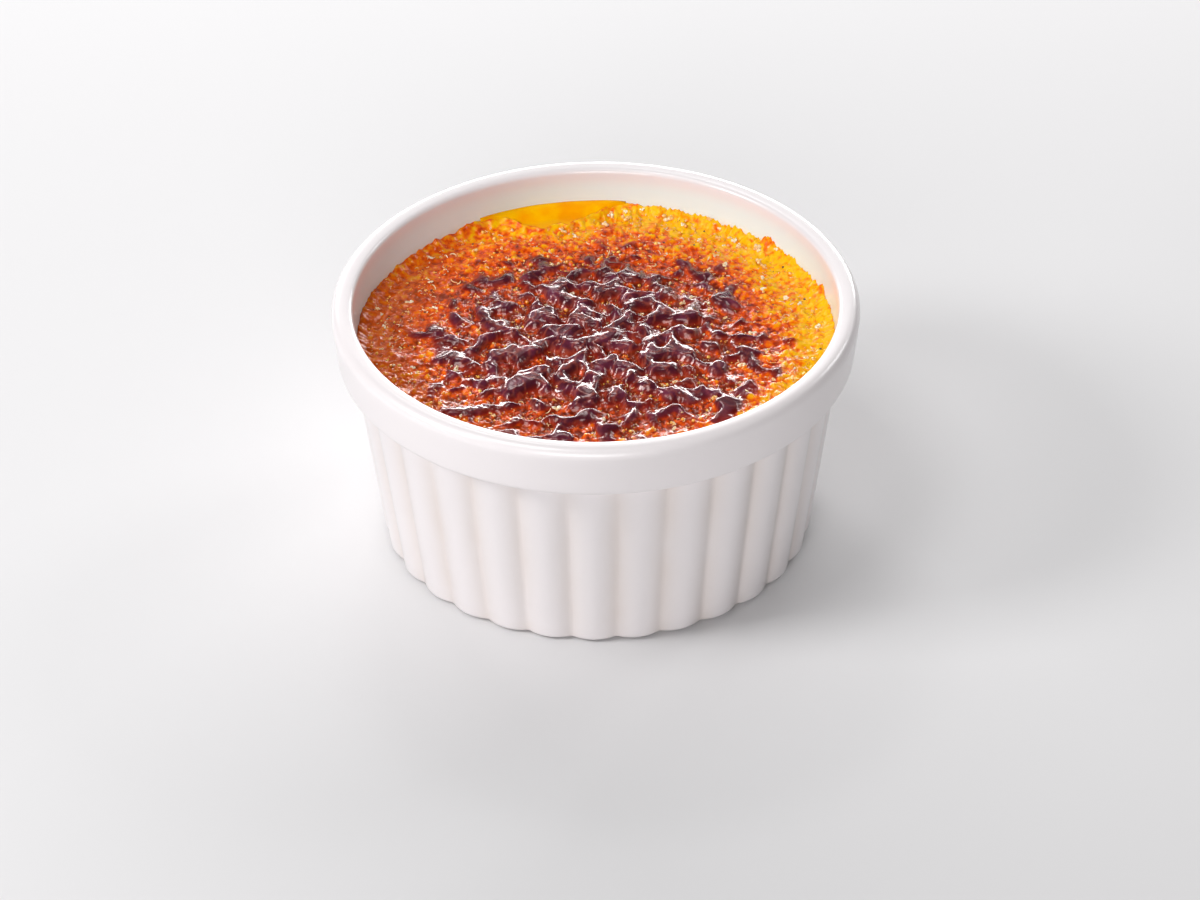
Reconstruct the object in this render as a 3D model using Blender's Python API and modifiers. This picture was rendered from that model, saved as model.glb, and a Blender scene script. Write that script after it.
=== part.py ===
"""Creme brulee in a fluted porcelain ramekin.

Three solids, nested and never touching: the ramekin, the set custard that fills it, and the
plate of burnt sugar that lies on the custard. Metres, +Z up. The origin is the middle of the
foot, so the dish stands on z = 0.
"""
import math

import bmesh
import bpy
from mathutils import Matrix, Vector, noise

MM = 0.001

# Ramekin, outside.
RIM_RADIUS = 45.0 * MM            # widest circle, just under the lip
DISH_HEIGHT = 45.0 * MM
LIP_CROWN_RADIUS = 43.2 * MM      # circle along the top of the lip
LIP_DROP = 1.7 * MM               # the lip's outer rounding, measured down from the top
BAND_FOOT_RADIUS = 44.1 * MM      # the plain band narrows a little towards its lower edge
BAND_FOOT_Z = 36.0 * MM
LEDGE_Z = 35.4 * MM               # underside of the band, where the ribs begin
WALL_TOP_RADIUS = 41.8 * MM       # rib crests under the band
WALL_FOOT_RADIUS = 37.1 * MM      # rib crests just above the foot
FOOT_EDGE_HEIGHT = 1.1 * MM       # rounded edge at the foot
FOOT_RING_OUTER = 36.2 * MM
FOOT_RING_INNER = 33.4 * MM
RECESS_RADIUS = 32.6 * MM
RECESS_DEPTH = 0.9 * MM

# Ribs.
RIB_COUNT = 30
STEPS_PER_RIB = 5
GROOVE_DEPTH = 0.85 * MM          # crest to groove
RIB_ROUNDNESS = 2.2               # 2 would make each rib a plain arc
RIB_DOME_HEIGHT = 1.7 * MM        # over this height the ribs round off under the ledge
RIB_DOME_SHARE = 0.35             # how much of a rib is left right at the ledge
RIB_TURN = math.radians(10.6)     # angle from +X to the first groove

# Ramekin, inside, from the floor up.
FLOOR_Z = 3.8 * MM
FLOOR_RADIUS = 29.5 * MM
FLOOR_FILLET = (33.3 * MM, 6.4 * MM)
WALL_SHOULDER = (38.7 * MM, 33.0 * MM)     # the wall is thinner below the band than behind it
BAND_INSIDE = (40.75 * MM, 37.2 * MM)
LIP_INSIDE = (41.3 * MM, 44.2 * MM)
LIP_INNER_ROUND = (41.9 * MM, 44.85 * MM)

# Custard.
GAP = 0.3 * MM                    # clearance that every pair of neighbours keeps
CUSTARD_STEPS = 60
CUSTARD_TOP_Z = 35.7 * MM
CUSTARD_RINGS = 3                 # rings on the custard's top
MENISCUS_RISE = 1.1 * MM          # the custard climbs the wall where no sugar covers it

# Burnt sugar plate.
CRUST_CELLS = 40                  # cells of the top's grid along each axis
CRUST_UNDERSIDE_Z = 36.05 * MM
CRUST_LEVEL_Z = 37.5 * MM         # mean level of the top
CRUST_FOOT_RADIUS = 39.7 * MM     # outline of the underside
CRUST_EDGE_RADIUS = 40.3 * MM     # outline of the top
CRUST_EDGE_RISE = 0.75 * MM       # the sugar creeps up the wall
CRUST_MIN_THICKNESS = 0.7 * MM
RAGGED_EDGE = 0.7 * MM            # how far the outline wanders inwards
BARE_ANGLE = math.radians(101.0)  # middle of the strip where custard shows at the back
BARE_HALF_ANGLE = math.radians(20.0)
BARE_WIDTH = 5.0 * MM
BLISTER_LENGTH = 6.8 * MM         # left to right; they are nearly as long the other way
BLISTER_WIDTH = 5.6 * MM
BLISTER_HEIGHT = 1.3 * MM
BLISTER_FIELD_RADIUS = 31.0 * MM  # the blisters fade beyond this circle

PARTS_NAME = "creme_brulee"


def clear_objects():
    """Remove every object of the open scene."""
    for item in list(bpy.data.objects):
        bpy.data.objects.remove(item, do_unlink=True)


def make_collection(name):
    """Make a collection and link it to the scene."""
    collection = bpy.data.collections.new(name)
    bpy.context.scene.collection.children.link(collection)
    return collection


def make_material(name, colour, roughness):
    """Make a non-metallic Principled material."""
    material = bpy.data.materials.new(name)
    material.use_nodes = True
    shader = material.node_tree.nodes["Principled BSDF"]
    shader.inputs["Base Color"].default_value = (*colour, 1.0)
    shader.inputs["Roughness"].default_value = roughness
    shader.inputs["Metallic"].default_value = 0.0
    return material


def turned_body(name, profile, steps, collection, material):
    """Turn a half profile, given as (radius, height) pairs, into a closed body.

    The profile starts and ends on the axis. On the outer side it runs from top to bottom.
    The Screw modifier is baked, so that the body's points can be moved afterwards.
    """
    mesh = bpy.data.meshes.new(name + "_profile")
    points = [(radius, 0.0, height) for radius, height in profile]
    edges = [(index, index + 1) for index in range(len(points) - 1)]
    mesh.from_pydata(points, edges, [])
    guide = bpy.data.objects.new(name + "_profile", mesh)
    collection.objects.link(guide)
    screw = guide.modifiers.new("turn", "SCREW")
    screw.axis = "Z"
    screw.angle = math.tau
    screw.steps = steps
    screw.render_steps = steps
    screw.use_merge_vertices = True
    screw.merge_threshold = 0.01 * MM
    screw.use_smooth_shade = True
    depsgraph = bpy.context.evaluated_depsgraph_get()
    turned = bpy.data.meshes.new_from_object(guide.evaluated_get(depsgraph))
    turned.name = name
    bpy.data.objects.remove(guide, do_unlink=True)
    bpy.data.meshes.remove(mesh)
    body = bpy.data.objects.new(name, turned)
    collection.objects.link(body)
    turned.materials.clear()
    turned.materials.append(material)
    return body


def move_points(body, rule):
    """Move each point of a body to the place that rule(point) returns."""
    work = bmesh.new()
    work.from_mesh(body.data)
    for vertex in work.verts:
        vertex.co = rule(vertex.co.copy())
    bmesh.ops.recalc_face_normals(work, faces=work.faces)
    work.to_mesh(body.data)
    work.free()


def smooth_step(low, high, value):
    """Ease from 0 at low to 1 at high."""
    share = min(max((value - low) / (high - low), 0.0), 1.0)
    return share * share * (3.0 - 2.0 * share)


# ---------------------------------------------------------------- ramekin

def ramekin_profile():
    """Half section of the dish, from the middle of the floor round to the recess."""
    return [
        (0.0, FLOOR_Z),
        (FLOOR_RADIUS, FLOOR_Z),
        FLOOR_FILLET,
        WALL_SHOULDER,
        BAND_INSIDE,
        LIP_INSIDE,
        LIP_INNER_ROUND,
        (LIP_CROWN_RADIUS, DISH_HEIGHT),
        (RIM_RADIUS - 0.3 * LIP_DROP, DISH_HEIGHT - 0.4 * LIP_DROP),
        (RIM_RADIUS, DISH_HEIGHT - LIP_DROP),
        (BAND_FOOT_RADIUS, BAND_FOOT_Z),
        (BAND_FOOT_RADIUS - 0.7 * MM, LEDGE_Z),
        (WALL_TOP_RADIUS, LEDGE_Z),
        (wall_radius(LEDGE_Z - RIB_DOME_HEIGHT), LEDGE_Z - RIB_DOME_HEIGHT),
        (WALL_FOOT_RADIUS, FOOT_EDGE_HEIGHT),
        (FOOT_RING_OUTER, 0.0),
        (FOOT_RING_INNER, 0.0),
        (RECESS_RADIUS, RECESS_DEPTH),
        (0.0, RECESS_DEPTH),
    ]


def wall_radius(height):
    """Radius of the rib crests at a height on the tapered wall."""
    share = (height - FOOT_EDGE_HEIGHT) / (LEDGE_Z - FOOT_EDGE_HEIGHT)
    return WALL_FOOT_RADIUS + share * (WALL_TOP_RADIUS - WALL_FOOT_RADIUS)


def groove_share(angle):
    """How deep the surface lies between ribs at an angle: 0 on a crest, 1 in a groove."""
    turns = angle / math.tau * RIB_COUNT
    from_groove = abs(turns - round(turns)) * 2.0
    return (1.0 - from_groove) ** RIB_ROUNDNESS


def flute_point(point):
    """Press the grooves into the outer wall between the ledge and the foot ring."""
    radius = math.hypot(point.x, point.y)
    on_wall = radius > FOOT_RING_INNER + GAP and point.z < LEDGE_Z + 0.1 * MM
    outside = radius > wall_radius(point.z) - 1.5 * MM
    if not (on_wall and outside) or radius > WALL_TOP_RADIUS + 0.1 * MM:
        return point
    depth = GROOVE_DEPTH * groove_share(math.atan2(point.y, point.x))
    below_ledge = (LEDGE_Z - point.z) / RIB_DOME_HEIGHT
    if below_ledge < 0.5:
        crest_drop = GROOVE_DEPTH * (1.0 - RIB_DOME_SHARE)
        depth = crest_drop + depth * RIB_DOME_SHARE
    scale = (radius - depth) / radius
    return Vector((point.x * scale, point.y * scale, point.z))


def build_ramekin(collection, material):
    """The dish: a turned shell whose outer wall is fluted below a plain band."""
    steps = RIB_COUNT * STEPS_PER_RIB
    ramekin = turned_body("ramekin", ramekin_profile(), steps, collection, material)
    move_points(ramekin, flute_point)
    ramekin.data.transform(Matrix.Rotation(RIB_TURN, 4, "Z"))
    ramekin.data.set_sharp_from_angle(angle=math.radians(40.0))
    return ramekin


# ---------------------------------------------------------------- outline shared by the fill

def bare_share(angle):
    """1 in the middle of the strip without sugar, 0 away from it."""
    offset = abs(math.remainder(angle - BARE_ANGLE, math.tau))
    return 1.0 - smooth_step(0.35 * BARE_HALF_ANGLE, BARE_HALF_ANGLE, offset)


def edge_noise(angle, waves, seed):
    """Smooth uneven value from -1 to 1 along a closed outline."""
    place = Vector((math.cos(angle) * waves, math.sin(angle) * waves, seed))
    return max(-1.0, min(1.0, 1.6 * noise.noise(place)))


# ---------------------------------------------------------------- custard

def custard_profile():
    """Half section of the fill, one gap inside the dish."""
    fillet_radius, fillet_z = FLOOR_FILLET
    shoulder_radius, shoulder_z = WALL_SHOULDER
    top_radius = inner_radius(CUSTARD_TOP_Z) - GAP
    rings = [top_radius * ring / CUSTARD_RINGS for ring in range(CUSTARD_RINGS)]
    top = [(radius, CUSTARD_TOP_Z) for radius in rings]
    return top + [
        (0.93 * top_radius, CUSTARD_TOP_Z),
        (top_radius, CUSTARD_TOP_Z),
        (shoulder_radius - GAP, shoulder_z),
        (fillet_radius - GAP, fillet_z + 0.5 * GAP),
        (FLOOR_RADIUS - GAP, FLOOR_Z + GAP),
        (0.0, FLOOR_Z + GAP),
    ]


def inner_radius(height):
    """Radius of the dish's inner wall between the shoulder and the lip."""
    low, high = WALL_SHOULDER, BAND_INSIDE
    if height > BAND_INSIDE[1]:
        low, high = BAND_INSIDE, LIP_INSIDE
    share = (height - low[1]) / (high[1] - low[1])
    return low[0] + share * (high[0] - low[0])


def meniscus_point(point):
    """Raise the custard's rim along the bare strip."""
    radius = math.hypot(point.x, point.y)
    at_rim = point.z > CUSTARD_TOP_Z - 0.1 * MM
    if not at_rim or radius < 0.98 * (inner_radius(CUSTARD_TOP_Z) - GAP):
        return point
    share = bare_share(math.atan2(point.y, point.x)) ** 2
    height = point.z + MENISCUS_RISE * share
    scale = (inner_radius(height) - GAP) / radius
    return Vector((point.x * scale, point.y * scale, height))


def build_custard(collection, material):
    """The set custard, filling the dish up to the underside of the sugar."""
    profile = custard_profile()
    custard = turned_body("custard", profile, CUSTARD_STEPS, collection, material)
    move_points(custard, meniscus_point)
    custard.data.set_sharp_from_angle(angle=math.radians(50.0))
    return custard


# ---------------------------------------------------------------- burnt sugar

def disc_point(point):
    """Map a point of the square from -1 to 1 onto the unit disc."""
    return (
        point.x * math.sqrt(1.0 - 0.5 * point.y * point.y),
        point.y * math.sqrt(1.0 - 0.5 * point.x * point.x),
    )


def blister_height(x, y):
    """Height of the blistered surface above or below its mean level."""
    place = Vector((x / BLISTER_LENGTH, y / BLISTER_WIDTH, 1.7))
    warp = Vector((noise.noise(place * 0.7), noise.noise(place * 0.7 + Vector((9, 4, 2))), 0.0))
    ridge = 1.0 - 2.4 * abs(noise.noise(place + 0.5 * warp))
    fade = 1.0 - 0.7 * smooth_step(BLISTER_FIELD_RADIUS, CRUST_EDGE_RADIUS, math.hypot(x, y))
    return fade * BLISTER_HEIGHT * (ridge - 0.6)


def outline_inset(angle):
    """How far the ragged outline lies inwards of the full circle at an angle."""
    ragged = RAGGED_EDGE * 0.5 * (1.0 + edge_noise(angle, 9.0, 3.1))
    return ragged + BARE_WIDTH * bare_share(angle)


def crust_top_point(point):
    """Place a point of the unit square on the ragged, blistered top of the plate."""
    x, y = disc_point(point)
    angle = math.atan2(y, x)
    share = math.hypot(x, y)
    radius = CRUST_EDGE_RADIUS - outline_inset(angle)
    creep = CRUST_EDGE_RISE * smooth_step(0.86, 1.0, share)
    creep *= (1.0 - bare_share(angle)) * (0.7 + 0.6 * edge_noise(angle, 4.0, 8.2))
    height = CRUST_LEVEL_Z + blister_height(x * radius, y * radius) + creep
    lowest = CRUST_UNDERSIDE_Z + CRUST_MIN_THICKNESS
    return Vector((x * radius, y * radius, max(height, lowest)))


def underside_point(point):
    """Place a point of the top's outline on the flat underside below it."""
    radius = math.hypot(point.x, point.y)
    scale = (radius - CRUST_EDGE_RADIUS + CRUST_FOOT_RADIUS) / radius
    return Vector((point.x * scale, point.y * scale, CRUST_UNDERSIDE_Z))


def build_crust(collection, material):
    """The plate of burnt sugar, one gap above the custard and clear of the wall.

    A grid is mapped onto the disc and lifted into blisters. Its outline is then drawn down
    to the underside, which one flat face closes.
    """
    work = bmesh.new()
    bmesh.ops.create_grid(work, x_segments=CRUST_CELLS, y_segments=CRUST_CELLS, size=1.0)
    for vertex in work.verts:
        vertex.co = crust_top_point(vertex.co.copy())
    outline = [edge for edge in work.edges if edge.is_boundary]
    skirt = bmesh.ops.extrude_edge_only(work, edges=outline)["geom"]
    for vertex in [item for item in skirt if isinstance(item, bmesh.types.BMVert)]:
        vertex.co = underside_point(vertex.co.copy())
    open_edges = [edge for edge in work.edges if edge.is_boundary]
    bmesh.ops.holes_fill(work, edges=open_edges, sides=len(open_edges))
    bmesh.ops.recalc_face_normals(work, faces=work.faces)
    mesh = bpy.data.meshes.new("caramel_crust")
    work.to_mesh(mesh)
    work.free()
    mesh.materials.append(material)
    mesh.shade_smooth()
    mesh.set_sharp_from_angle(angle=math.radians(55.0))
    crust = bpy.data.objects.new("caramel_crust", mesh)
    collection.objects.link(crust)
    return crust


def build():
    """Build the three solids into the collection of parts."""
    clear_objects()
    collection = make_collection(PARTS_NAME)
    porcelain = make_material("white_glazed_porcelain", (0.86, 0.84, 0.83), 0.12)
    custard = make_material("baked_egg_custard", (0.91, 0.53, 0.05), 0.35)
    caramel = make_material("burnt_sugar", (0.30, 0.07, 0.02), 0.12)
    build_ramekin(collection, porcelain)
    build_custard(collection, custard)
    build_crust(collection, caramel)


build()
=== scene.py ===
"""Looks of a creme brulee in its fluted porcelain ramekin.

Lengths are in millimetres until a mesh is made, and in metres from there on. +Z is up and the
dish stands on z = 0.
"""

import logging
import math
from dataclasses import dataclass
from enum import Enum, IntEnum
from typing import Callable, Sequence

import bmesh
import bpy
import numpy as np
from mathutils import Matrix, Vector


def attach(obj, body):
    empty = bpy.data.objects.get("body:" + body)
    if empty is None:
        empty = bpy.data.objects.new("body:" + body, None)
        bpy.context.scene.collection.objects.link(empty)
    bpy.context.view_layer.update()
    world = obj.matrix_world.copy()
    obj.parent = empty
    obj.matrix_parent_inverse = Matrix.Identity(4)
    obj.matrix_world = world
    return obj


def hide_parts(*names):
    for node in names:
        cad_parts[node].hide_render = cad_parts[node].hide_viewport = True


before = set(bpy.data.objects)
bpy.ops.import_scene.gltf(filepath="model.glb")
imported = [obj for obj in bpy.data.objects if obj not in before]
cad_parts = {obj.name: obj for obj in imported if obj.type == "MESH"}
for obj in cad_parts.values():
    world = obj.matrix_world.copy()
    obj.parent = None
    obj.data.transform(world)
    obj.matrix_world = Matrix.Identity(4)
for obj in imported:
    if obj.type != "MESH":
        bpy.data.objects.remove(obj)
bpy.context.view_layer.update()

MM = 0.001
TAU = math.tau
ROOT_BODY = "root"
LOG = logging.getLogger("creme_brulee")
SAME_PLACE = 0.0005        # vertices closer than this are one
SECTION_STEP = 1.1         # longest step along a turned section
ARC_STEP_SHARE = 0.35      # longest step along a rounding, as a share of its radius

Array = np.ndarray
Colour = tuple[float, float, float, float]
Socket = bpy.types.NodeSocket
Piece = bpy.types.Object


class Node(Enum):
    """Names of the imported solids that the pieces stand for."""

    RAMEKIN = "ramekin"
    CUSTARD = "custard"
    CRUST = "caramel_crust"


class Slot(Enum):
    """Material slots of the record."""

    PORCELAIN = "porcelain"
    CUSTARD = "custard"
    CARAMEL = "caramel"


class Seed(IntEnum):
    """One seed for each random pattern, so that a change to one pattern moves no other."""

    GROOVES = 5
    LOOSE_CLUSTER = 7
    WALL_CLUSTER = 9
    DRIFT_EAST = 11
    QUIVER_EAST = 12
    DRIFT_NORTH = 13
    QUIVER_NORTH = 14
    ISLANDS = 21
    LOBES = 22
    TENDRILS = 23
    FOLDS = 24
    SCORCH_EDGE = 31
    BLISTERS = 40
    BUBBLES = 41
    FROTH_PATCHES = 42
    WALL_WAVE = 61
    WALL_TEETH = 62
    WALL_FINE = 63
    BARE_EDGE = 64
    SPLINTERS = 65
    CUSTARD_SKIN = 71
    AMBER_PATCHES = 81
    BEADS = 91
    BUBBLE_RIMS = 92
    LONG_RIMS = 93
    SPECKS = 94
    LOOSE_FROTH = 95
    WALL_FROTH = 96


# ---------------------------------------------------------------- numbers and colour

def linear(code: str, alpha: float = 1.0) -> Colour:
    """Turn an sRGB hex colour into linear light.

    Args:
        code: six hex digits, with or without a leading #.
        alpha: opacity.

    Returns:
        Linear red, green, blue and alpha.
    """
    digits = code.lstrip("#")
    parts = []
    for start in (0, 2, 4):
        value = int(digits[start:start + 2], 16) / 255.0
        parts.append(value / 12.92 if value <= 0.04045 else ((value + 0.055) / 1.055) ** 2.4)
    return parts[0], parts[1], parts[2], alpha


def smooth_step(low: float, high: float, value: Array) -> Array:
    """Ease from 0 at low to 1 at high.

    Args:
        low: where the rise starts.
        high: where it ends.
        value: one value or an array of them.

    Returns:
        The eased share, with the shape of value.
    """
    share = np.clip((value - low) / (high - low), 0.0, 1.0)
    return share * share * (3.0 - 2.0 * share)


class Noise:
    """Seeded smooth noise on a plane, about -1 to 1, with features about one unit wide."""

    SIDE = 256

    def __init__(self, seed: int) -> None:
        """Draw the gradient at each lattice point.

        Args:
            seed: fixes the pattern.
        """
        angle = np.random.default_rng(seed).uniform(0.0, TAU, (self.SIDE, self.SIDE))
        self.east = np.cos(angle)
        self.north = np.sin(angle)

    def __call__(self, x: Array, y: Array) -> Array:
        """Read the noise.

        Args:
            x: first coordinates.
            y: second coordinates.

        Returns:
            One value for each point.
        """
        column = np.floor(x).astype(int)
        row = np.floor(y).astype(int)
        dx = x - column
        dy = y - row
        ease_x = dx ** 3 * (dx * (dx * 6.0 - 15.0) + 10.0)
        ease_y = dy ** 3 * (dy * (dy * 6.0 - 15.0) + 10.0)

        def corner(i: int, j: int) -> Array:
            """Slope of one lattice corner, reaching the point."""
            a = (column + i) % self.SIDE
            b = (row + j) % self.SIDE
            return self.east[a, b] * (dx - i) + self.north[a, b] * (dy - j)

        low = corner(0, 0) * (1.0 - ease_x) + corner(1, 0) * ease_x
        high = corner(0, 1) * (1.0 - ease_x) + corner(1, 1) * ease_x
        return 1.5 * (low * (1.0 - ease_y) + high * ease_y)


class Cells:
    """Seeded scatter of one point in each unit square, read as distances."""

    SIDE = 128

    def __init__(self, seed: int) -> None:
        """Draw the points and one random value for each.

        Args:
            seed: fixes the pattern.
        """
        rng = np.random.default_rng(seed)
        self.east, self.north, self.value = rng.random((3, self.SIDE, self.SIDE))

    def __call__(self, x: Array, y: Array) -> tuple[Array, Array]:
        """Find the nearest scattered point.

        Args:
            x: first coordinates.
            y: second coordinates.

        Returns:
            Distance to the nearest point, and that point's random value.
        """
        column = np.floor(x).astype(int)
        row = np.floor(y).astype(int)
        nearest = np.full(x.shape, 9.0)
        value = np.zeros(x.shape)
        for i in (-1, 0, 1):
            for j in (-1, 0, 1):
                a = (column + i) % self.SIDE
                b = (row + j) % self.SIDE
                distance = np.hypot(column + i + self.east[a, b] - x,
                                    row + j + self.north[a, b] - y)
                closer = distance < nearest
                value = np.where(closer, self.value[a, b], value)
                nearest = np.where(closer, distance, nearest)
        return nearest, value


def noise_round(seed: int, angle: Array, radius: float, shift: float = 0.0) -> Array:
    """Read noise along a circle, so that it closes on itself.

    Args:
        seed: fixes the pattern.
        angle: where on the circle.
        radius: the circle's radius in features of the noise.
        shift: how far the circle's middle lies from the pattern's corner.

    Returns:
        One value for each angle.
    """
    return Noise(seed)(np.cos(angle) * radius + shift, np.sin(angle) * radius + shift)


# ---------------------------------------------------------------- meshes

def mesh_object(name: str, points: Array, quads: Array,
                extra: Sequence[Sequence[int]] = ()) -> Piece:
    """Make a smooth mesh object from points in millimetres.

    Args:
        name: the piece's name.
        points: one row of x, y, z for each vertex.
        quads: one row of four vertex numbers for each face.
        extra: further faces with any number of corners.

    Returns:
        The object, linked to the scene.
    """
    mesh = bpy.data.meshes.new(name)
    faces = [tuple(row) for row in quads.tolist()]
    faces.extend(tuple(face) for face in extra)
    mesh.from_pydata((points * MM).tolist(), [], faces)
    mesh.shade_smooth()
    mesh.validate()
    piece = bpy.data.objects.new(name, mesh)
    bpy.context.scene.collection.objects.link(piece)
    return piece


def edit(piece: Piece, change: Callable[[bmesh.types.BMesh], object]) -> None:
    """Change a piece's mesh in place.

    Args:
        piece: the mesh object.
        change: what is done to its faces and vertices.
    """
    work = bmesh.new()
    work.from_mesh(piece.data)
    change(work)
    work.to_mesh(piece.data)
    work.free()


def weld(work: bmesh.types.BMesh) -> None:
    """Join vertices that lie on one another, as at the points of a thread."""
    bmesh.ops.remove_doubles(work, verts=work.verts, dist=SAME_PLACE * MM)


def face_outwards(work: bmesh.types.BMesh) -> None:
    """Turn every face of a closed mesh outwards."""
    bmesh.ops.recalc_face_normals(work, faces=work.faces)


def store(piece: Piece, name: str, values: Array) -> None:
    """Keep one number for each vertex where the material can read it.

    Args:
        piece: the mesh object.
        name: the attribute's name.
        values: one value for each vertex.
    """
    attribute = piece.data.attributes.new(name, "FLOAT", "POINT")
    attribute.data.foreach_set("value", np.asarray(values, dtype=np.float32).ravel())


def ring_quads(rings: int, steps: int) -> Array:
    """Number the faces between rings of a turned shape.

    Args:
        rings: how many rings of vertices, from first to last.
        steps: vertices on each ring.

    Returns:
        One row of four vertex numbers for each face.
    """
    ring = np.arange(rings - 1)[:, None] * steps
    here = np.arange(steps)[None, :]
    after = (here + 1) % steps
    corners = [ring + here, ring + after, ring + steps + after, ring + steps + here]
    return np.stack(corners, -1).reshape(-1, 4)


@dataclass(frozen=True)
class Corner:
    """One corner of a half section: radius and height, and how far it is rounded."""

    radius: float
    height: float
    rounding: float = 0.0


def rounded_section(corners: Sequence[Corner], spacing: float) -> Array:
    """Join corners by straight stretches and round each with an arc.

    Args:
        corners: the section's corners in order.
        spacing: longest step between points.

    Returns:
        Points of the section, one row of radius and height for each.
    """
    places = [np.array([corner.radius, corner.height]) for corner in corners]
    path = [places[0]]
    for index in range(1, len(corners) - 1):
        here = places[index]
        back = places[index - 1] - here
        ahead = places[index + 1] - here
        back /= np.linalg.norm(back)
        ahead /= np.linalg.norm(ahead)
        bend = math.acos(float(np.clip(back @ ahead, -1.0, 1.0)))
        rounding = corners[index].rounding
        if rounding <= 0.0:
            path.append(here)
            continue
        reach = rounding / math.tan(bend / 2.0)
        inward = (back + ahead) / np.linalg.norm(back + ahead)
        middle = here + inward * rounding / math.sin(bend / 2.0)
        first = here + back * reach - middle
        last = here + ahead * reach - middle
        sweep = math.pi - bend
        turn = 1.0 if first[0] * last[1] - first[1] * last[0] > 0.0 else -1.0
        count = max(2, math.ceil(sweep * rounding / min(spacing, ARC_STEP_SHARE * rounding)))
        for part in range(count + 1):
            angle = turn * sweep * part / count
            c, s = math.cos(angle), math.sin(angle)
            spoke = np.array([first[0] * c - first[1] * s, first[0] * s + first[1] * c])
            path.append(middle + spoke)
    path.append(places[-1])
    filled = [path[0]]
    for start, end in zip(path[:-1], path[1:]):
        count = max(1, math.ceil(float(np.linalg.norm(end - start)) / spacing))
        filled.extend(start + (end - start) * part / count for part in range(1, count + 1))
    return np.array(filled)


def place(piece: Piece, slot: Slot, node: Node) -> None:
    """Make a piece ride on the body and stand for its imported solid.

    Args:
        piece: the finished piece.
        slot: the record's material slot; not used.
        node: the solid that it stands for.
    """
    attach(piece, ROOT_BODY)
    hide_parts(node.value)
    LOG.info("%s: %d faces", piece.name, len(piece.data.polygons))


# ---------------------------------------------------------------- materials

class Shader:
    """One material's node tree around its Principled shader."""

    def __init__(self, name: str, **inputs: float | Colour) -> None:
        """Start a material.

        Args:
            name: the material's name.
            inputs: values set on the shader's own sockets, with _ for each space.
        """
        self.material = bpy.data.materials.new(name)
        self.material.use_nodes = True
        self.tree = self.material.node_tree
        self.surface = self.tree.nodes["Principled BSDF"]
        self.where = self.add("TexCoord").outputs["Object"]
        for key, value in inputs.items():
            self.surface.inputs[key.replace("_", " ")].default_value = value

    def add(self, kind: str, links: dict[str | int, Socket] | None = None,
            **settings: object) -> bpy.types.Node:
        """Add a node with its settings and links.

        Args:
            kind: the node's type name without its ShaderNode prefix.
            links: sockets that feed this node's inputs, by name or number.
            settings: the node's properties, or an input's value where no property has that name.

        Returns:
            The new node.
        """
        node = self.tree.nodes.new("ShaderNode" + kind)
        for key, value in settings.items():
            if hasattr(node, key):
                setattr(node, key, value)
            else:
                node.inputs[key.replace("_", " ")].default_value = value
        for key, socket in (links or {}).items():
            self.tree.links.new(socket, node.inputs[key])
        return node

    def ramp(self, factor: Socket, stops: Sequence[tuple[float, str]]) -> Socket:
        """Colour a factor by stops.

        Args:
            factor: the socket that drives the ramp.
            stops: position and hex colour of each stop.

        Returns:
            The ramp's colour socket.
        """
        node = self.add("ValToRGB", {"Fac": factor})
        elements = node.color_ramp.elements
        while len(elements) > 1:
            elements.remove(elements[-1])
        elements[0].position = stops[0][0]
        elements[0].color = linear(stops[0][1])
        for position, code in stops[1:]:
            elements.new(position).color = linear(code)
        return node.outputs["Color"]

    def blend(self, factor: Socket, first: Socket | Colour, second: Socket | Colour) -> Socket:
        """Mix two colours.

        Args:
            factor: the socket that says how much of the second shows.
            first: a colour or a socket that gives one.
            second: a colour or a socket that gives one.

        Returns:
            The mixed colour's socket.
        """
        node = self.add("Mix", {0: factor}, data_type="RGBA")
        for number, colour in ((6, first), (7, second)):
            if isinstance(colour, tuple):
                node.inputs[number].default_value = colour
            else:
                self.tree.links.new(colour, node.inputs[number])
        return node.outputs[2]

    def drive(self, name: str, socket: Socket) -> None:
        """Feed one input of the shader.

        Args:
            name: the input's name.
            socket: what feeds it.
        """
        self.tree.links.new(socket, self.surface.inputs[name])

    def stored(self, name: str) -> Socket:
        """Read a number that was kept for each vertex.

        Args:
            name: the attribute's name.

        Returns:
            The number's socket.
        """
        return self.add("Attribute", attribute_name=name).outputs["Fac"]

    def noise(self, feature: float, detail: float) -> Socket:
        """Add noise of a real size.

        Args:
            feature: width of its features in millimetres.
            detail: how many finer layers it has.

        Returns:
            The noise's socket.
        """
        scale = 1.0 / (feature * MM)
        node = self.add("TexNoise", {"Vector": self.where}, Scale=scale, Detail=detail)
        return node.outputs["Fac"]

    def combine(self, operation: str, first: Socket, second: Socket) -> Socket:
        """Combine two numbers.

        Args:
            operation: what is done with them.
            first: the first number's socket.
            second: the second number's socket.

        Returns:
            The result's socket.
        """
        return self.add("Math", {0: first, 1: second}, operation=operation).outputs[0]

    def bump(self, height: Socket, strength: float, depth: float) -> Socket:
        """Roughen the surface.

        Args:
            height: the socket that gives the relief.
            strength: how much of it shows.
            depth: height of the full relief in millimetres.

        Returns:
            The bumped normal's socket.
        """
        node = self.add("Bump", {"Height": height}, Strength=strength, Distance=depth * MM)
        self.drive("Normal", node.outputs["Normal"])
        return node.outputs["Normal"]


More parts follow.
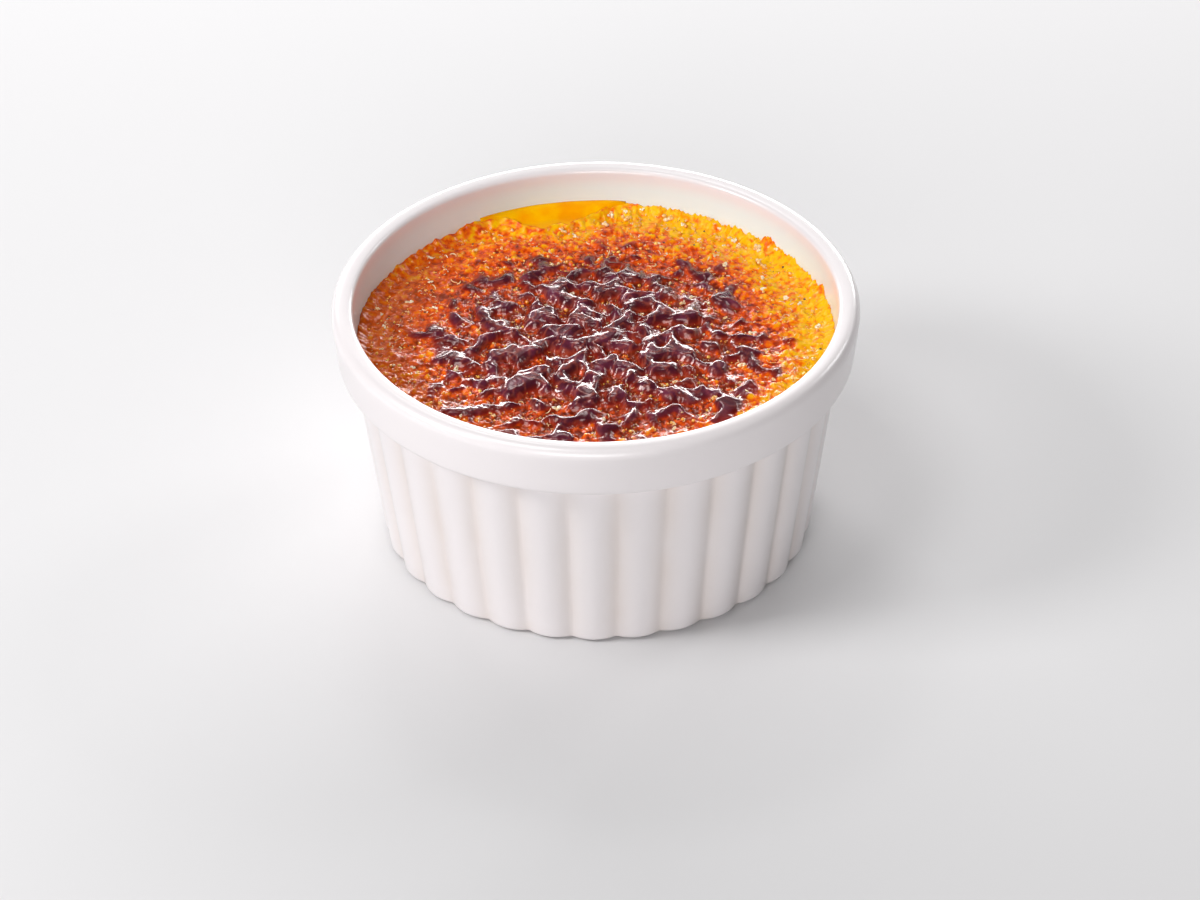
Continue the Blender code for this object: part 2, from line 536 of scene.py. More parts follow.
@dataclass(frozen=True)
class GlazedPorcelain:
    """White vitreous porcelain, pressed and dipped in clear glaze.

    The glaze gives a wet, even gloss with a faint orange-peel ripple, and pools a little
    warmer in the grooves. Above the custard a thin baked film is left on the wall. Inside the
    dish the glaze is painted a cooler tint: painted light that offsets the orange light which
    the sugar bounces onto the wall.
    """

    body: str = "#EDE7E8"
    pooled: str = "#E4DAD6"
    painted_cool_tint: str = "#E5F3F5"
    film: str = "#E3C29A"
    ripple: float = 5.0
    cloud: float = 15.0
    streak: float = 1.4
    full_pool: float = 0.6

    def build(self) -> bpy.types.Material:
        """Make the material."""
        shader = Shader("glazed_white_porcelain", Roughness=0.3, IOR=1.52, Coat_Weight=0.3,
                        Coat_Roughness=0.12, Coat_IOR=1.5)
        amount = shader.combine("MULTIPLY", shader.noise(self.cloud, 3.0), shader.stored("pooled"))
        tone = shader.ramp(amount, [(0.0, self.body), (self.full_pool, self.pooled)])
        # Painted light: the inner wall is tinted cooler, offsetting the orange light bounced from
        # the sugar.
        tone = shader.blend(shader.stored("inside"), tone, linear(self.painted_cool_tint))
        share = shader.combine("MULTIPLY", shader.noise(self.streak, 4.0), shader.stored("film"))
        shader.drive("Base Color", shader.blend(share, tone, linear(self.film)))
        shader.bump(shader.noise(self.ripple, 1.0), 0.12, 0.10)
        return shader.material


@dataclass(frozen=True)
class BakedCustard:
    """Egg custard, baked until set.

    The skin is smooth and mirrors very little, and light scatters a little inside it, so that
    the yellow stays deep under a bright lamp.
    """

    deep: str = "#FA9C00"
    bright: str = "#FFB800"
    mottle: float = 4.0
    pore: float = 0.9

    def build(self) -> bpy.types.Material:
        """Make the material."""
        shader = Shader("baked_egg_custard", Roughness=0.25, IOR=1.42, Specular_IOR_Level=0.08,
                        Subsurface_Weight=0.15, Subsurface_Scale=1.5 * MM)
        tone = shader.ramp(shader.noise(self.mottle, 4.0), [(0.35, self.deep), (0.62, self.bright)])
        shader.drive("Base Color", tone)
        shader.bump(shader.noise(self.pore, 3.0), 0.3, 0.12)
        return shader.material


@dataclass(frozen=True)
class BurntSugar:
    """Sugar melted and scorched by a torch, cooled to glass.

    Thin and pale it shows the custard as yellow; thicker it turns orange and red, and where a
    blister met the flame its skin is a dark plum-red. The scorched middle has a thick, wet
    gloss. Towards the wall the gloss is thin, so the colour shows with little mirroring. Pink
    along the folds and mauve patches on the scorched skin are painted sheen.
    """

    grain: float = 1.1
    froth: float = 0.75
    sheen_patch: float = 3.2
    swing: float = 0.34
    scorch_edge: float = 0.22
    most_painted_fold_sheen: float = 0.28
    melted: tuple[tuple[float, str], ...] = (
        (0.0, "#FFC000"), (0.25, "#FF9E00"), (0.45, "#F87000"),
        (0.65, "#E04A02"), (0.85, "#B03604"), (1.0, "#7A2006"))
    ochre: str = "#C25A00"
    scorched: tuple[tuple[float, str], ...] = (
        (0.0, "#C04008"), (0.22, "#98260C"), (0.45, "#7A160C"), (0.75, "#60100E"), (1.0, "#4A1020"))
    painted_sheen: str = "#6E2C44"
    painted_fold_sheen: str = "#DC6C50"
    gleam: str = "#FFCEC4"

    def tone(self, shader: Shader, scorch: Socket) -> Socket:
        """Colour the sugar by its depth and its scorching, with painted sheen along its folds and in
        patches of its scorched skin.

        Args:
            shader: the material's shader.
            scorch: the socket that says how far a place is scorched.

        Returns:
            The colour's socket.
        """
        swing = shader.add("MapRange", {"Value": shader.noise(self.grain, 3.0)}, From_Min=0.3,
                           From_Max=0.7, To_Min=-self.swing, To_Max=self.swing).outputs[0]
        melted = shader.ramp(shader.combine("ADD", shader.stored("amber"), swing), self.melted)
        browned = shader.blend(shader.stored("ochre"), melted, linear(self.ochre))
        # Painted sheen: patches of the scorched skin turn mauve, standing in for the soft sheen of
        # the lamps.
        sheen_patch_share = shader.add("MapRange", {"Value": shader.noise(self.sheen_patch, 3.0)}, From_Min=0.46,
                           From_Max=0.72).outputs[0]
        skin = shader.blend(shader.combine("MULTIPLY", sheen_patch_share, scorch),
                            shader.ramp(scorch, self.scorched), linear(self.painted_sheen))
        edge = shader.add("MapRange", {"Value": scorch}, From_Max=self.scorch_edge).outputs[0]
        tone = shader.blend(edge, browned, skin)
        # Painted highlight: the crests of the folds are tinted pink, standing in for the lamps'
        # sheen on them.
        fold_sheen_share = shader.add("MapRange", {"Value": shader.stored("fold")},
                              To_Max=self.most_painted_fold_sheen).outputs[0]
        return shader.blend(fold_sheen_share, tone, linear(self.painted_fold_sheen))

    def build(self) -> bpy.types.Material:
        """Make the material."""
        shader = Shader("torched_sugar_glass", Roughness=0.25, IOR=1.49, Specular_IOR_Level=0.4,
                        Specular_Tint=linear(self.gleam), Coat_Roughness=0.14, Coat_IOR=1.49,
                        Subsurface_Weight=0.12, Subsurface_Scale=1.0 * MM,
                        Subsurface_Radius=(1.0, 0.35, 0.12))
        scorch = shader.stored("scorch")
        shader.drive("Base Color", self.tone(shader, scorch))
        froth = shader.add("TexVoronoi", {"Vector": shader.where}, Scale=1.0 / (self.froth * MM),
                           feature="SMOOTH_F1", Smoothness=0.5).outputs["Distance"]
        ripples = shader.combine("SUBTRACT", shader.noise(self.froth, 1.0), froth)
        calm = shader.add("MapRange", {"Value": scorch}, From_Min=0.1, From_Max=0.6, To_Min=1.0,
                          To_Max=0.15).outputs[0]
        bumped = shader.bump(shader.combine("MULTIPLY", ripples, calm), 0.4, 0.2)
        shader.drive("Coat Normal", bumped)
        shader.drive("Coat Weight", shader.stored("glassy"))
        return shader.material


@dataclass(frozen=True)
class ClearSugar:
    """Melted sugar that stayed pale: small glassy drops and thin curled films, gold to cream, with
    the cream films and whitish froth painted paler still as painted glints.
    """

    name: str
    deep: str
    pale: str
    patch: float = 2.5

    def build(self) -> bpy.types.Material:
        """Make the material."""
        shader = Shader(self.name, Roughness=0.15, IOR=1.49, Coat_Weight=1.0, Coat_Roughness=0.04,
                        Coat_IOR=1.7)
        tone = shader.ramp(shader.noise(self.patch, 1.0), [(0.4, self.deep), (0.6, self.pale)])
        shader.drive("Base Color", tone)
        return shader.material


@dataclass(frozen=True)
class Char:
    """Sugar burnt through to carbon: small, dull brown-black flecks."""

    dark: str = "#2A0E08"
    brown: str = "#6A240C"
    patch: float = 1.5

    def build(self) -> bpy.types.Material:
        """Make the material."""
        shader = Shader("charred_sugar", Roughness=0.45, IOR=1.49)
        tone = shader.ramp(shader.noise(self.patch, 2.0), [(0.4, self.dark), (0.6, self.brown)])
        shader.drive("Base Color", tone)
        return shader.material


# ---------------------------------------------------------------- ramekin

@dataclass
class Ramekin:
    """The fluted dish: plain band and lip above a ribbed, tapered wall."""

    rim_radius: float = 45.15
    lip_height: float = 45.16
    band_foot_radius: float = 44.1
    ledge_height: float = 35.4
    wall_top_radius: float = 41.8
    wall_foot_radius: float = 37.1
    rib_count: int = 30
    groove_depth: float = 0.85
    rib_turn: float = math.radians(10.6)
    dome_height: float = 1.7
    dome_share: float = 0.35
    unevenness: float = 0.07
    film_fade: tuple[float, float] = (37.8, 38.6)
    # Heights over which the painted cool tint of the inner wall fades out.
    painted_cool_tint_fade: tuple[float, float] = (41.0, 44.0)
    steps: int = 540

    def corners(self) -> list[Corner]:
        """List the corners of the half section, before they are rounded.

        Returns:
            The corners, from the floor's middle over the lip to the recess under the foot.
        """
        return [
            Corner(0.0, 3.8),               # middle of the floor
            Corner(33.4, 3.8, 4.0),         # floor to wall
            Corner(38.7, 33.0, 9.0),        # where the wall thickens behind the band
            Corner(40.75, 37.2, 6.0),
            Corner(41.3, 44.75, 0.9),       # lip, inner side
            Corner(self.rim_radius, self.lip_height, 1.7),
            Corner(self.band_foot_radius - 0.02, self.ledge_height, 1.0),
            Corner(self.wall_top_radius - 0.1, self.ledge_height, 0.35),
            Corner(self.wall_foot_radius - 0.1, 0.0, 1.1),
            Corner(33.4, 0.0, 0.4),         # foot ring, inner side
            Corner(32.6, 0.9, 0.5),         # recess
            Corner(0.0, 0.9),
        ]

    def inner_radius(self, height: Array) -> Array:
        """Radius of the inner wall at a height near the fill.

        Args:
            height: one height or an array of them.

        Returns:
            The radius at each height.
        """
        heights = [33.0, 34.5, 36.0, 37.2, 38.6, 44.0]
        return np.interp(height, heights, [38.75, 39.4, 40.1, 40.6, 40.83, 41.22])

    def groove_share(self, angle: Array) -> Array:
        """How deep the wall lies between ribs: 0 on a crest, 1 in a groove.

        Args:
            angle: angles from the first groove.

        Returns:
            The share at each angle.
        """
        turns = angle / TAU * self.rib_count
        offset = np.sqrt((turns - np.round(turns)) ** 2 + 0.0016) - 0.04
        return np.clip(1.0 - 2.0 * offset, 0.0, 1.0) ** 2.2

    def build(self) -> Piece:
        """Make the dish and dress it.

        Returns:
            The dish.
        """
        section = rounded_section(self.corners(), SECTION_STEP)
        inner = section[1:-1]
        angle = np.arange(self.steps) / self.steps * TAU
        radius = np.repeat(inner[:, :1], self.steps, axis=1)
        height = np.repeat(inner[:, 1:], self.steps, axis=1)
        order = np.arange(len(inner))
        lip = int(np.argmax(inner[:, 1]))
        clear_of_foot = inner[:, 0] > 35.0
        on_wall = (order > lip) & (inner[:, 1] < self.ledge_height - 0.02) & clear_of_foot
        groove = self.groove_share(angle - self.rib_turn)[None, :]
        uneven = 1.0 + self.unevenness * noise_round(Seed.GROOVES, angle, 3.0, 9.0)[None, :]
        depth = self.groove_depth * groove * uneven
        below = np.clip((self.ledge_height - inner[:, 1]) / self.dome_height, 0.0, 1.0)
        dome = self.dome_share + (1.0 - self.dome_share) * np.sin(below * math.pi / 2.0)
        crest_drop = self.groove_depth * (1.0 - dome)
        cut = crest_drop[:, None] + depth * dome[:, None]
        radius = radius - np.where(on_wall[:, None], cut, 0.0)
        points = np.stack([radius * np.cos(angle), radius * np.sin(angle), height], -1)
        points = points.reshape(-1, 3)
        count = len(points)
        ends = np.array([[0.0, 0.0, section[0, 1]], [0.0, 0.0, section[-1, 1]]])
        points = np.concatenate([points, ends])
        after = np.roll(np.arange(self.steps), -1)
        last = count - self.steps
        fans = [(count, int(after[i]), i) for i in range(self.steps)]
        fans += [(count + 1, last + i, last + int(after[i])) for i in range(self.steps)]
        piece = mesh_object("ramekin_dish", points, ring_quads(len(inner), self.steps), fans)
        edit(piece, face_outwards)
        pooled = np.where(on_wall[:, None], groove, 0.0) * np.ones_like(radius)
        store(piece, "pooled", np.append(pooled.ravel(), [0.0, 0.0]))
        inside = (order < lip)[:, None]
        film = inside * (1.0 - smooth_step(*self.film_fade, height))
        store(piece, "film", np.append(film.ravel(), [0.0, 0.0]))
        # Painted light: where the inner wall takes the cooler tint that offsets the sugar's orange
        # bounce light.
        painted_cool_tint = inside * (1.0 - smooth_step(*self.painted_cool_tint_fade, height))
        store(piece, "inside", np.append(painted_cool_tint.ravel(), [1.0, 0.0]))
        piece.data.materials.append(GlazedPorcelain().build())
        place(piece, Slot.PORCELAIN, Node.RAMEKIN)
        return piece


# ---------------------------------------------------------------- fill

def disc_grid(cells: int) -> tuple[Array, Array, Array]:
    """Map a square grid onto the unit disc.

    Args:
        cells: cells along each side.

    Returns:
        The x and y of each vertex, row by row, and the faces.
    """
    line = np.linspace(-1.0, 1.0, cells + 1)
    u, v = np.meshgrid(line, line)
    x = u * np.sqrt(1.0 - 0.5 * v * v)
    y = v * np.sqrt(1.0 - 0.5 * u * u)
    corner = (np.arange(cells)[:, None] * (cells + 1) + np.arange(cells)[None, :]).ravel()
    quads = np.stack([corner, corner + 1, corner + cells + 2, corner + cells + 1], -1)
    return x.ravel(), y.ravel(), quads


def disc_outline(cells: int) -> Array:
    """Vertex numbers round the outline of a disc grid, counter-clockwise.

    Args:
        cells: cells along each side.

    Returns:
        The vertex numbers.
    """
    side = cells + 1
    bottom = np.arange(cells)
    right = cells + side * np.arange(cells)
    top = side * side - 1 - np.arange(cells)
    left = side * cells - side * np.arange(cells)
    return np.concatenate([bottom, right, top, left])


def closed_disc(name: str, cells: int, points: Array, skirt: Array) -> Piece:
    """Close a lifted disc with a skirt and a flat underside.

    Args:
        name: the piece's name.
        cells: cells along each side of the disc grid.
        points: places of the grid's vertices.
        skirt: places of the underside's outline, in the order of the disc's outline.

    Returns:
        The closed piece.
    """
    outline = disc_outline(cells)
    count = len(points)
    low = count + np.arange(len(outline))
    after = np.roll(np.arange(len(outline)), -1)
    sides = np.stack([outline, low, low[after], outline[after]], -1)
    quads = np.concatenate([disc_grid(cells)[2], sides])
    underside = tuple(int(number) for number in low[::-1])
    piece = mesh_object(name, np.concatenate([points, skirt]), quads, [underside])
    edit(piece, face_outwards)
    return piece


@dataclass
class FillOutline:
    """Where the custard lies bare at the back, and how the fill meets the wall."""

    bare_angle: float = math.radians(101.0)
    bare_half_angle: float = math.radians(20.0)
    bare_width: float = 5.2
    ragged: float = 0.30
    level: float = 37.5
    bare_level: float = 38.8
    wall_level: float = 38.0
    back_rise: float = 0.4
    wave_rise: float = 0.4
    teeth_rise: float = 0.45
    fine_rise: float = 0.4
    splinter_rise: float = 0.65
    swell_rise: float = 0.7
    proud_rise: float = 1.5
    swell_angle: float = math.radians(108.0)
    lump_angle: float = math.radians(41.5)
    flake_angle: float = math.radians(16.5)
    bite: float = 0.08

    def bare_share(self, angle: Array) -> Array:
        """1 in the middle of the bare strip, 0 away from it."""
        offset = np.abs((angle - self.bare_angle + math.pi) % TAU - math.pi)
        return 1.0 - smooth_step(0.15 * self.bare_half_angle, self.bare_half_angle, offset)

    def proud_share(self, angle: Array) -> Array:
        """1 where the edge stands proud at the wall: a lump at the back right, then torn flakes."""
        lump = np.exp(-((angle - self.lump_angle) / math.radians(2.2)) ** 2)
        flakes = np.exp(-((angle - self.flake_angle) / math.radians(3.4)) ** 2)
        return lump + flakes * (0.55 + 0.45 * np.cos((angle - self.flake_angle) * 75.0))

    def wall_height(self, angle: Array) -> Array:
        """Height at which the sugar meets the wall."""
        right = smooth_step(0.2, 0.9, np.cos(angle - 0.3))
        swell = np.exp(-((angle - self.swell_angle) / math.radians(17.0)) ** 2)
        back = smooth_step(0.2, 1.0, np.sin(angle + math.radians(22.0)))
        height = self.wall_level + self.back_rise * back
        height = height + self.wave_rise * noise_round(Seed.WALL_WAVE, angle, 2.2, 7.0)
        height = height + self.teeth_rise * noise_round(Seed.WALL_TEETH, angle, 14.0, 40.0)
        height = height + self.fine_rise * noise_round(Seed.WALL_FINE, angle, 34.0, 70.0)
        splinters = noise_round(Seed.SPLINTERS, angle, 62.0) * right
        height = height + self.splinter_rise * splinters + self.swell_rise * swell
        return height + self.proud_rise * self.proud_share(angle)

    def sugar_edge(self, dish: Ramekin, angle: Array) -> Array:
        """Radius at which the sugar ends: just in the wall, and short of it at the bare strip."""
        ragged = 1.0 + self.ragged * noise_round(Seed.BARE_EDGE, angle, 16.0, 11.0)
        gap = self.bare_width * self.bare_share(angle) * ragged
        return dish.inner_radius(self.wall_height(angle)) + self.bite - gap


@dataclass
class Custard:
    """The set custard that fills the dish."""

    outline: FillOutline
    dish: Ramekin
    cells: int = 200
    buried: float = 35.7
    foot_radius: float = 31.5
    foot_height: float = 4.0

    def build(self) -> Piece:
        """Make the custard and dress it.

        Returns:
            The custard.
        """
        x, y, _ = disc_grid(self.cells)
        angle = np.arctan2(y, x)
        share = np.hypot(x, y)
        bare = self.outline.bare_share(angle)
        climb = self.outline.bare_level - self.outline.level
        rim = self.outline.level + climb * smooth_step(0.90, 1.0, share)
        edge = self.outline.sugar_edge(self.dish, angle) / self.dish.inner_radius(rim)
        shows = smooth_step(-0.03, 0.0, share - edge)
        height = self.buried + (rim - 0.1 - self.buried) * shows * (bare > 0.01)
        height += 0.06 * Noise(Seed.CUSTARD_SKIN)(x * 9.0, y * 9.0)
        radius = self.dish.inner_radius(height) + 0.05
        points = np.stack([x * radius, y * radius, height], -1)
        ring = disc_outline(self.cells)
        skirt = np.stack([x[ring] * self.foot_radius, y[ring] * self.foot_radius,
                          np.full(len(ring), self.foot_height)], -1)
        piece = closed_disc("custard_fill", self.cells, points, skirt)
        piece.data.materials.append(BakedCustard().build())
        place(piece, Slot.CUSTARD, Node.CUSTARD)
        return piece


@dataclass
class BlisterRelief:
    """The torched surface: scorched islands with drawn-out tips, and bubbly hollows between."""

    island: float = 4.0
    lobe: float = 2.3
    tendril: float = 5.0
    island_height: float = 1.9
    blister: float = 1.35
    blister_height: float = 0.46
    bubble: float = 0.8
    bubble_height: float = 0.30
    froth_patch: float = 4.2
    fold: float = 1.7
    drift: tuple[float, float] = (1.2, 3.8)
    quiver: tuple[float, float] = (0.16, 1.5)
    sunk: float = 0.9
    scorch_centre: tuple[float, float] = (0.0, -3.0)
    scorch_radii: tuple[float, float] = (37.5, 37.0)

    def read(self, x: Array, y: Array) -> dict[str, Array]:
        """Work out the relief and its colouring at points of the plane.

        Args:
            x: positions in millimetres.
            y: positions in millimetres.

        Returns:
            One value for each point: height about the mean level, scorch, hill (1 on an
            island), zone (1 in the scorched middle), reach, fold and foam.
        """
        def warped(base: Array, *seeds: Seed) -> Array:
            """Push one coordinate about, so that the patterns have crooked outlines."""
            for (push, width), seed in zip((self.drift, self.quiver), seeds):
                base = base + push * Noise(seed)(x / width, y / width)
            return base

        east = warped(x, Seed.DRIFT_EAST, Seed.QUIVER_EAST)
        north = warped(y, Seed.DRIFT_NORTH, Seed.QUIVER_NORTH)
        blob = Noise(Seed.ISLANDS)(east / self.island, north / self.island)
        blob += 0.42 * Noise(Seed.LOBES)(east / self.lobe, north / self.lobe)
        thread = Noise(Seed.TENDRILS)(east / self.tendril, north / self.tendril)
        ridge = 1.0 - np.sqrt(thread * thread + 0.006) / 0.55
        field = 0.75 * blob + 0.34 * ridge
        reach = np.hypot((x - self.scorch_centre[0]) / self.scorch_radii[0],
                         (y - self.scorch_centre[1]) / self.scorch_radii[1])
        reach = reach + 0.10 * Noise(Seed.SCORCH_EDGE)(x / 8.0, y / 8.0)
        zone = 1.0 - smooth_step(0.34, 1.0, reach)
        limit = 0.44 - 0.53 * zone
        hill = smooth_step(limit - 0.28, limit + 0.56, field)
        patches = Noise(Seed.FROTH_PATCHES)(x / self.froth_patch, y / self.froth_patch)
        frothy = 0.4 + 0.25 * (1.0 - zone) + 0.6 * smooth_step(-0.35, 0.35, patches)
        even = smooth_step(22.0, 35.0, 0.35 * y - 0.94 * x)     # the left rim stays calm
        frothy = frothy * (1.0 - 0.6 * even)
        # Domes stand between the islands: wide blisters, then fine bubbles.
        near, value = Cells(Seed.BLISTERS)(east / self.blister, north / self.blister)
        dome = np.sqrt(np.clip(1.0 - (near / 0.62) ** 2, 0.0, 1.0))
        blister = dome * value * (1.0 - hill) * frothy
        near, value = Cells(Seed.BUBBLES)(x / self.bubble, y / self.bubble)
        dome = np.sqrt(np.clip(1.0 - (near / 0.6) ** 2, 0.0, 1.0))
        bubble = dome * (value > 0.5) * (1.0 - hill) * frothy
        # Folds are fine raised creases; the sugar's material also tints their crests pink as painted
        # sheen.
        crease = Noise(Seed.FOLDS)(east / self.fold, north / self.fold)
        fold = smooth_step(0.55, 1.0, 1.0 - 2.0 * np.abs(crease)) * (0.15 + 0.85 * zone)
        height = self.island_height * hill * (0.30 + 0.70 * zone) + 0.12 * ridge + 0.08 * fold
        height += self.blister_height * blister + self.bubble_height * bubble * (0.5 + 0.5 * value)
        scorch = smooth_step(0.10, 0.84, hill) * smooth_step(0.0, 0.34, zone)
        return {"height": height - self.sunk, "scorch": scorch, "hill": hill, "zone": zone,
                "reach": reach, "fold": fold, "foam": 0.6 * blister + 0.4 * bubble}


@dataclass
class CaramelCrust:
    """The plate of burnt sugar."""

    outline: FillOutline
    dish: Ramekin
    relief: BlisterRelief
    cells: int = 300
    underside: float = 36.0

    def surface(self, x: Array, y: Array) -> tuple[Array, dict[str, Array]]:
        """Place points of the unit disc on the plate's top.

        Args:
            x: positions on the unit disc.
            y: positions on the unit disc.

        Returns:
            The places, and the colouring at each.
        """
        angle = np.arctan2(y, x)
        share = np.hypot(x, y)
        bare = self.outline.bare_share(angle)
        wall = self.outline.wall_height(angle)
        edge = self.outline.sugar_edge(self.dish, angle)
        px, py = x * edge, y * edge
        read = self.relief.read(px, py)
        to_wall = smooth_step(0.90, 1.0, share)
        level = self.outline.level + (wall - self.outline.level) * to_wall * (1.0 - bare)
        height = level + read["height"] * (1.0 - 0.8 * smooth_step(0.95, 1.0, share))
        height = height + bare * 0.15 * smooth_step(0.86, 1.0, share)
        out = np.hypot(px, py)
        toward_left = 0.5 - 0.5 * np.cos(angle - math.radians(14.0))
        # Amber: deep in the middle, orange in the ring, yellow at the right rim, deeper at the left.
        patch = 0.5 + 0.5 * Noise(Seed.AMBER_PATCHES)(px / 4.0, py / 4.0)
        middle = 0.64 + 0.30 * (1.0 - smooth_step(0.4, 0.9, read["reach"]))
        at_rim = -0.02 + 0.52 * toward_left ** 1.3
        ring = 0.47 + 0.18 * smooth_step(0.2, 0.9, toward_left)
        amber = middle + (ring - middle) * smooth_step(0.70, 1.0, read["reach"])
        amber = amber + (at_rim - amber) * smooth_step(29.0, 38.8, out)
        inner = 1.0 - smooth_step(28.0, 38.0, out)
        amber = amber + 0.30 * (patch - 0.5) * (0.5 + 0.5 * inner)
        amber = amber + 0.18 * read["hill"] * (0.3 + 0.7 * read["zone"])
        # Bubbles are thin and so paler than what lies between them.
        amber = amber + (0.20 - 0.66 * read["foam"]) * (0.75 + 0.25 * inner)
        proud = self.outline.proud_share(angle) * smooth_step(0.93, 0.99, share)
        amber = amber + 0.40 * proud - 0.12 * bare * smooth_step(0.75, 0.95, share)
        ochre = smooth_step(0.6, 0.98, toward_left) * smooth_step(24.0, 38.0, out) * 0.5
        glassy = 0.12 + 0.50 * smooth_step(0.0, 0.5, read["zone"])
        read.update(amber=amber, ochre=ochre, glassy=glassy)
        return np.stack([px, py, height], -1), read

    def build(self) -> Piece:
        """Make the plate and dress it.

        Returns:
            The plate.
        """
        x, y, _ = disc_grid(self.cells)
        points, read = self.surface(x, y)
        ring = disc_outline(self.cells)
        skirt = points[ring].copy()
        skirt[:, :2] *= 0.985
        skirt[:, 2] = self.underside
        piece = closed_disc("caramel_plate", self.cells, points, skirt)
        for name in ("scorch", "amber", "ochre", "glassy", "fold"):
            store(piece, name, np.concatenate([read[name], read[name][ring]]))
        piece.data.materials.append(BurntSugar().build())
        place(piece, Slot.CARAMEL, Node.CRUST)
        return piece


@dataclass(frozen=True)
class Grain:
    """One small shape of unit size, which a scatter repeats."""

    points: Array
    faces: Array

    @classmethod
    def ball(cls) -> "Grain":
        """Make a round drop."""
        work = bmesh.new()
        bmesh.ops.create_icosphere(work, subdivisions=1, radius=1.0)
        points = np.array([vertex.co[:] for vertex in work.verts])
        faces = np.array([[vertex.index for vertex in face.verts] for face in work.faces])
        work.free()
        return cls(points, faces)

    @classmethod
    def arc(cls, sweep: float, thickness: float, sides: int = 5, parts: int = 8) -> "Grain":
        """Make a bent thread that thins to both ends, as a burst bubble's rim does.

        Args:
            sweep: angle that the thread turns through.
            thickness: its radius in the middle, as a share of the bend's radius.
            sides: corners of its section.
            parts: stretches along it.

        Returns:
            The shape, drawn to a point at both ends.
        """
        along = np.linspace(-0.5, 0.5, parts + 1)[:, None]
        around = np.arange(sides)[None, :] / sides * TAU
        fat = thickness * np.sqrt(1.0 - (2.0 * along) ** 2)
        bend = 1.0 + fat * np.cos(around)
        rise = 0.25 * np.sin(along * 5.0) + fat * np.sin(around)
        turn = along * sweep
        points = np.stack([bend * np.cos(turn), bend * np.sin(turn), rise], -1).reshape(-1, 3)
        return cls(points, ring_quads(parts + 1, sides)[:, ::-1])


@dataclass
class Scatter:
    """Many small bits of sugar on the plate, joined into one mesh."""

    name: str
    crust: CaramelCrust
    grain: Grain
    finish: ClearSugar | Char
    count: int
    smallest: float
    largest: float
    flatness: float
    lift: float
    seed: int
    most_scorch: float = 0.15
    inner: float = 0.0
    outer: float = 0.96
    sector: tuple[float, float] = (0.0, 360.0)

    def build(self) -> Piece:
        """Make all the bits and dress them.

        Returns:
            The joined piece.
        """
        rng = np.random.default_rng(self.seed)
        tries = self.count * 4
        radius = np.sqrt(rng.uniform(self.inner ** 2, self.outer ** 2, tries))
        angle = rng.uniform(*np.radians(self.sector), tries)
        places, read = self.crust.surface(radius * np.cos(angle), radius * np.sin(angle))
        keep = np.flatnonzero(read["scorch"] < self.most_scorch)[:self.count]
        size = self.smallest + (self.largest - self.smallest) * rng.random(len(keep)) ** 2.5
        shape = np.repeat(self.grain.points[None], len(keep), axis=0)
        shape = shape * rng.uniform(0.75, 1.3, (len(keep), 1, 3))
        shape[:, :, 2] *= self.flatness
        shape = turned(shape, rng.uniform(-0.5, 0.5, len(keep)), 1, 2)
        shape = turned(shape, rng.uniform(0.0, TAU, len(keep)), 0, 1)
        points = places[keep][:, None, :] + shape * size[:, None, None]
        points[:, :, 2] += self.lift * size[:, None]
        shift = (np.arange(len(keep)) * len(self.grain.points))[:, None, None]
        faces = (self.grain.faces[None] + shift).reshape(-1, self.grain.faces.shape[1])
        piece = mesh_object(self.name, points.reshape(-1, 3), faces)
        edit(piece, weld)
        piece.data.materials.append(self.finish.build())
        place(piece, Slot.CARAMEL, Node.CRUST)
        return piece


def turned(shape: Array, angle: Array, first: int, second: int) -> Array:
    """Turn each copy of a shape in the plane of two axes.

    Args:
        shape: copies by points by coordinates.
        angle: one angle for each copy.
        first: number of the plane's first axis.
        second: number of its second axis.

    Returns:
        The turned copies.
    """
    c, s = np.cos(angle)[:, None], np.sin(angle)[:, None]
    result = shape.copy()
    result[:, :, first] = c * shape[:, :, first] - s * shape[:, :, second]
    result[:, :, second] = s * shape[:, :, first] + c * shape[:, :, second]
    return result


def froth(seed: int) -> Grain:
    """Make a cluster of small round bubbles that touch.

    Args:
        seed: fixes the cluster.

    Returns:
        The cluster, about one unit in radius.
    """
    rng = np.random.default_rng(seed)
    ball = Grain.ball()
    parts = []
    for _ in range(7):
        middle = rng.uniform(-0.75, 0.75, 3) * (1.0, 1.0, 0.3)
        parts.append(middle + ball.points * rng.uniform(0.28, 0.55))
    shift = np.arange(len(parts))[:, None, None] * len(ball.points)
    return Grain(np.concatenate(parts), (ball.faces[None] + shift).reshape(-1, 3))


